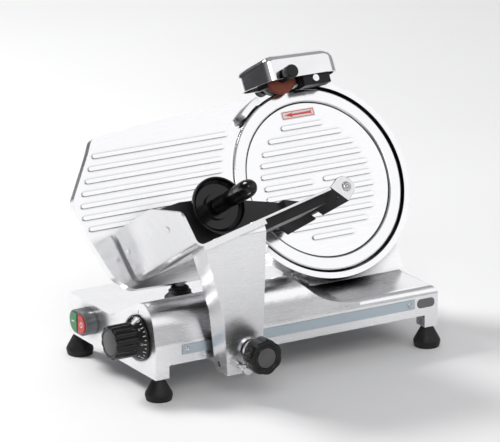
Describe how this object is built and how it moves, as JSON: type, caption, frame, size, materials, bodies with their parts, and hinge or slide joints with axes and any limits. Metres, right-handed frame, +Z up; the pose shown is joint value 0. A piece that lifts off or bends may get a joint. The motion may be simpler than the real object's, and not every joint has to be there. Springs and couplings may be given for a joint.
{
  "type": "deli meat slicer",
  "caption": "Gravity feed deli slicer: tilted round blade in a ring guard, ribbed gauge plate, sliding tray on an arm, pusher with handle, sharpener on top, dial and switch on the base.",
  "frame": {"origin": "middle of the overall bounding box, on the surface the feet stand on", "axes": "+X along the base, away from the dial; +Y away from the operator, to the back; +Z up"},
  "size_m": [0.5033, 0.3366, 0.3679],
  "materials": {
    "cast_aluminium": "satin brushed casting",
    "polished_aluminium": "fine satin",
    "machined_aluminium": "turned",
    "zinc_sheet": "zinc plated",
    "stainless_sheet": "brushed stainless",
    "blade_steel": "ground",
    "machined_steel": "machined",
    "ground_steel": "polished",
    "steel_screws": "plated",
    "polished_hood": "polished",
    "anodised_strip": "blue grey anodised",
    "badge_plate": "satin",
    "black_rubber": "matt",
    "belt_rubber": "matt",
    "black_plastic": "fine texture",
    "black_gloss": "gloss",
    "grey_plastic": "fine texture",
    "switch_grey": "fine texture",
    "switch_green": "satin",
    "switch_red": "satin",
    "black_casting": "satin black",
    "grey_casting": "dark grey",
    "motor_paint": "enamel",
    "label_white": "printed film",
    "red_abrasive": "grit",
    "grey_abrasive": "fine grit",
    "bearing_nylon": "nylon"
  },
  "bodies": {
    "frame": {"base_housing": "cast_aluminium", "base_plate": "zinc_sheet", "feet": "black_rubber", "base_screws": "steel_screws", "front_strip": "anodised_strip", "badge": "badge_plate", "cord_gland": "black_plastic", "control_box": "grey_plastic", "switch_housing": "switch_grey", "gauge_rod": "ground_steel", "drive_belt": "belt_rubber", "blade_bearings": "machined_steel", "blade_support": "cast_aluminium", "motor_cover": "cast_aluminium", "motor_body": "motor_paint", "blade_cover": "polished_aluminium", "arrow_label": "label_white", "slice_deflector": "stainless_sheet", "carriage_rod": "ground_steel", "guide_bar": "machined_steel", "rod_buffers": "black_rubber"},
    "blade_unit": {"blade": "blade_steel", "blade_screws": "steel_screws", "blade_shaft": "machined_steel", "driven_pulley": "machined_aluminium"},
    "rotor": {"motor_rotor": "machined_steel"},
    "dial": {"dial_knob": "black_gloss", "dial_cam": "machined_steel"},
    "gauge": {"gauge_slider": "machined_steel", "gauge_boot": "black_rubber", "gauge_plate": "polished_aluminium", "gauge_bracket": "black_casting"},
    "green_button": {"switch_button_green": "switch_green"},
    "red_button": {"switch_button_red": "switch_red"},
    "cover_lock": {"cover_knob": "black_plastic", "cover_tie_rod": "ground_steel"},
    "sharpener": {"sharpener_hood": "polished_hood", "sharpener_body": "black_casting", "sharpener_pins": "ground_steel"},
    "sharpener_clamp": {"sharpener_lock": "black_plastic"},
    "grind_pusher": {"grind_button": "black_plastic"},
    "grind_wheel": {"grind_stone": "red_abrasive"},
    "hone_pusher": {"hone_button": "black_plastic"},
    "hone_wheel": {"hone_stone": "grey_abrasive"},
    "carriage": {"carriage_block": "cast_aluminium"},
    "roller": {"guide_roller": "machined_steel"},
    "arm": {"carriage_arm": "cast_aluminium", "arm_pins": "ground_steel", "arm_bearer": "black_casting", "tray": "stainless_sheet", "tray_fixings": "steel_screws", "rod_bracket": "black_casting", "guide_rod": "ground_steel"},
    "arm_clamp": {"arm_knob": "black_plastic", "arm_knob_stem": "ground_steel"},
    "sleeve": {"pusher_sleeve": "bearing_nylon"},
    "pusher": {"pusher_plate": "grey_casting", "pusher_teeth": "stainless_sheet", "pusher_disc": "black_gloss", "pusher_handle": "black_gloss"}
  },
  "joints": [
    {"name": "blade_spin", "type": "hinge", "parent": "frame", "child": "blade_unit", "pos_m": [0.1167, 0.0527, 0.2104], "axis": [0, -0.866, 0.5], "continuous": true},
    {"name": "motor_spin", "type": "hinge", "parent": "frame", "child": "rotor", "pos_m": [0.1617, 0.06866, 0.11805], "axis": [0, -0.866, 0.5], "continuous": true},
    {"name": "dial_turn", "type": "hinge", "parent": "frame", "child": "dial", "pos_m": [-0.2086, -0.0391, 0.0743], "axis": [1, 0, 0], "range_deg": [0, 330]},
    {"name": "gauge_travel", "type": "slide", "parent": "frame", "child": "gauge", "axis": [0, 1, 0], "range_m": [0, 0.013]},
    {"name": "green_press", "type": "slide", "parent": "frame", "child": "green_button", "axis": [1, 0, 0], "range_m": [0, 0.0025], "stiffness_N_per_m": 400, "springref_m": -0.001},
    {"name": "red_press", "type": "slide", "parent": "frame", "child": "red_button", "axis": [1, 0, 0], "range_m": [0, 0.0025], "stiffness_N_per_m": 400, "springref_m": -0.001},
    {"name": "cover_lock_turn", "type": "hinge", "parent": "frame", "child": "cover_lock", "pos_m": [0.1167, 0.13064, 0.1654], "axis": [0, -0.866, 0.5], "range_deg": [0, 360]},
    {"name": "sharpener_lift", "type": "slide", "parent": "frame", "child": "sharpener", "axis": [0, 0.5, 0.866], "range_m": [0, 0.03]},
    {"name": "sharpener_clamp_turn", "type": "hinge", "parent": "frame", "child": "sharpener_clamp", "pos_m": [0.1467, 0.148, 0.27547], "axis": [0, -0.866, 0.5], "range_deg": [0, 360]},
    {"name": "grind_push", "type": "slide", "parent": "sharpener", "child": "grind_pusher", "axis": [0, 0.866, -0.5], "range_m": [0, 0.004], "stiffness_N_per_m": 1500, "springref_m": -0.001},
    {"name": "grind_spin", "type": "hinge", "parent": "grind_pusher", "child": "grind_wheel", "pos_m": [0.0937, 0.11354, 0.33578], "axis": [0, -0.866, 0.5], "continuous": true},
    {"name": "hone_push", "type": "slide", "parent": "sharpener", "child": "hone_pusher", "axis": [0, -0.866, 0.5], "range_m": [0, 0.003], "stiffness_N_per_m": 1500, "springref_m": -0.001},
    {"name": "hone_spin", "type": "hinge", "parent": "hone_pusher", "child": "hone_wheel", "pos_m": [0.0937, 0.13259, 0.32478], "axis": [0, -0.866, 0.5], "continuous": true},
    {"name": "carriage_travel", "type": "slide", "parent": "frame", "child": "carriage", "axis": [1, 0, 0], "range_m": [-0.033, 0.235]},
    {"name": "roller_spin", "type": "hinge", "parent": "carriage", "child": "roller", "pos_m": [-0.1016, 0.0012, 0.0514], "axis": [0, 1, 0], "continuous": true},
    {"name": "arm_tilt", "type": "hinge", "parent": "carriage", "child": "arm", "pos_m": [-0.1006, -0.1043, 0.044], "axis": [1, 0, 0], "range_deg": [0, 25]},
    {"name": "arm_clamp_turn", "type": "hinge", "parent": "arm", "child": "arm_clamp", "pos_m": [-0.0956, -0.1523, 0.065], "axis": [0, 1, 0], "range_deg": [0, 360]},
    {"name": "pusher_slide", "type": "slide", "parent": "arm", "child": "sleeve", "axis": [0, -0.866, 0.5], "range_m": [-0.044, 0.07]},
    {"name": "pusher_swing", "type": "hinge", "parent": "sleeve", "child": "pusher", "pos_m": [0.04672, -0.04098, 0.20828], "axis": [0, -0.866, 0.5], "range_deg": [-72, 0]}
  ],
  "couplings": [
    {"joint": "motor_spin", "follows": "blade_spin", "ratio": 2.8333},
    {"joint": "dial_turn", "follows": "gauge_travel", "rad_per_m": 443.05},
    {"joint": "roller_spin", "follows": "carriage_travel", "rad_per_m": 142.86}
  ]
}
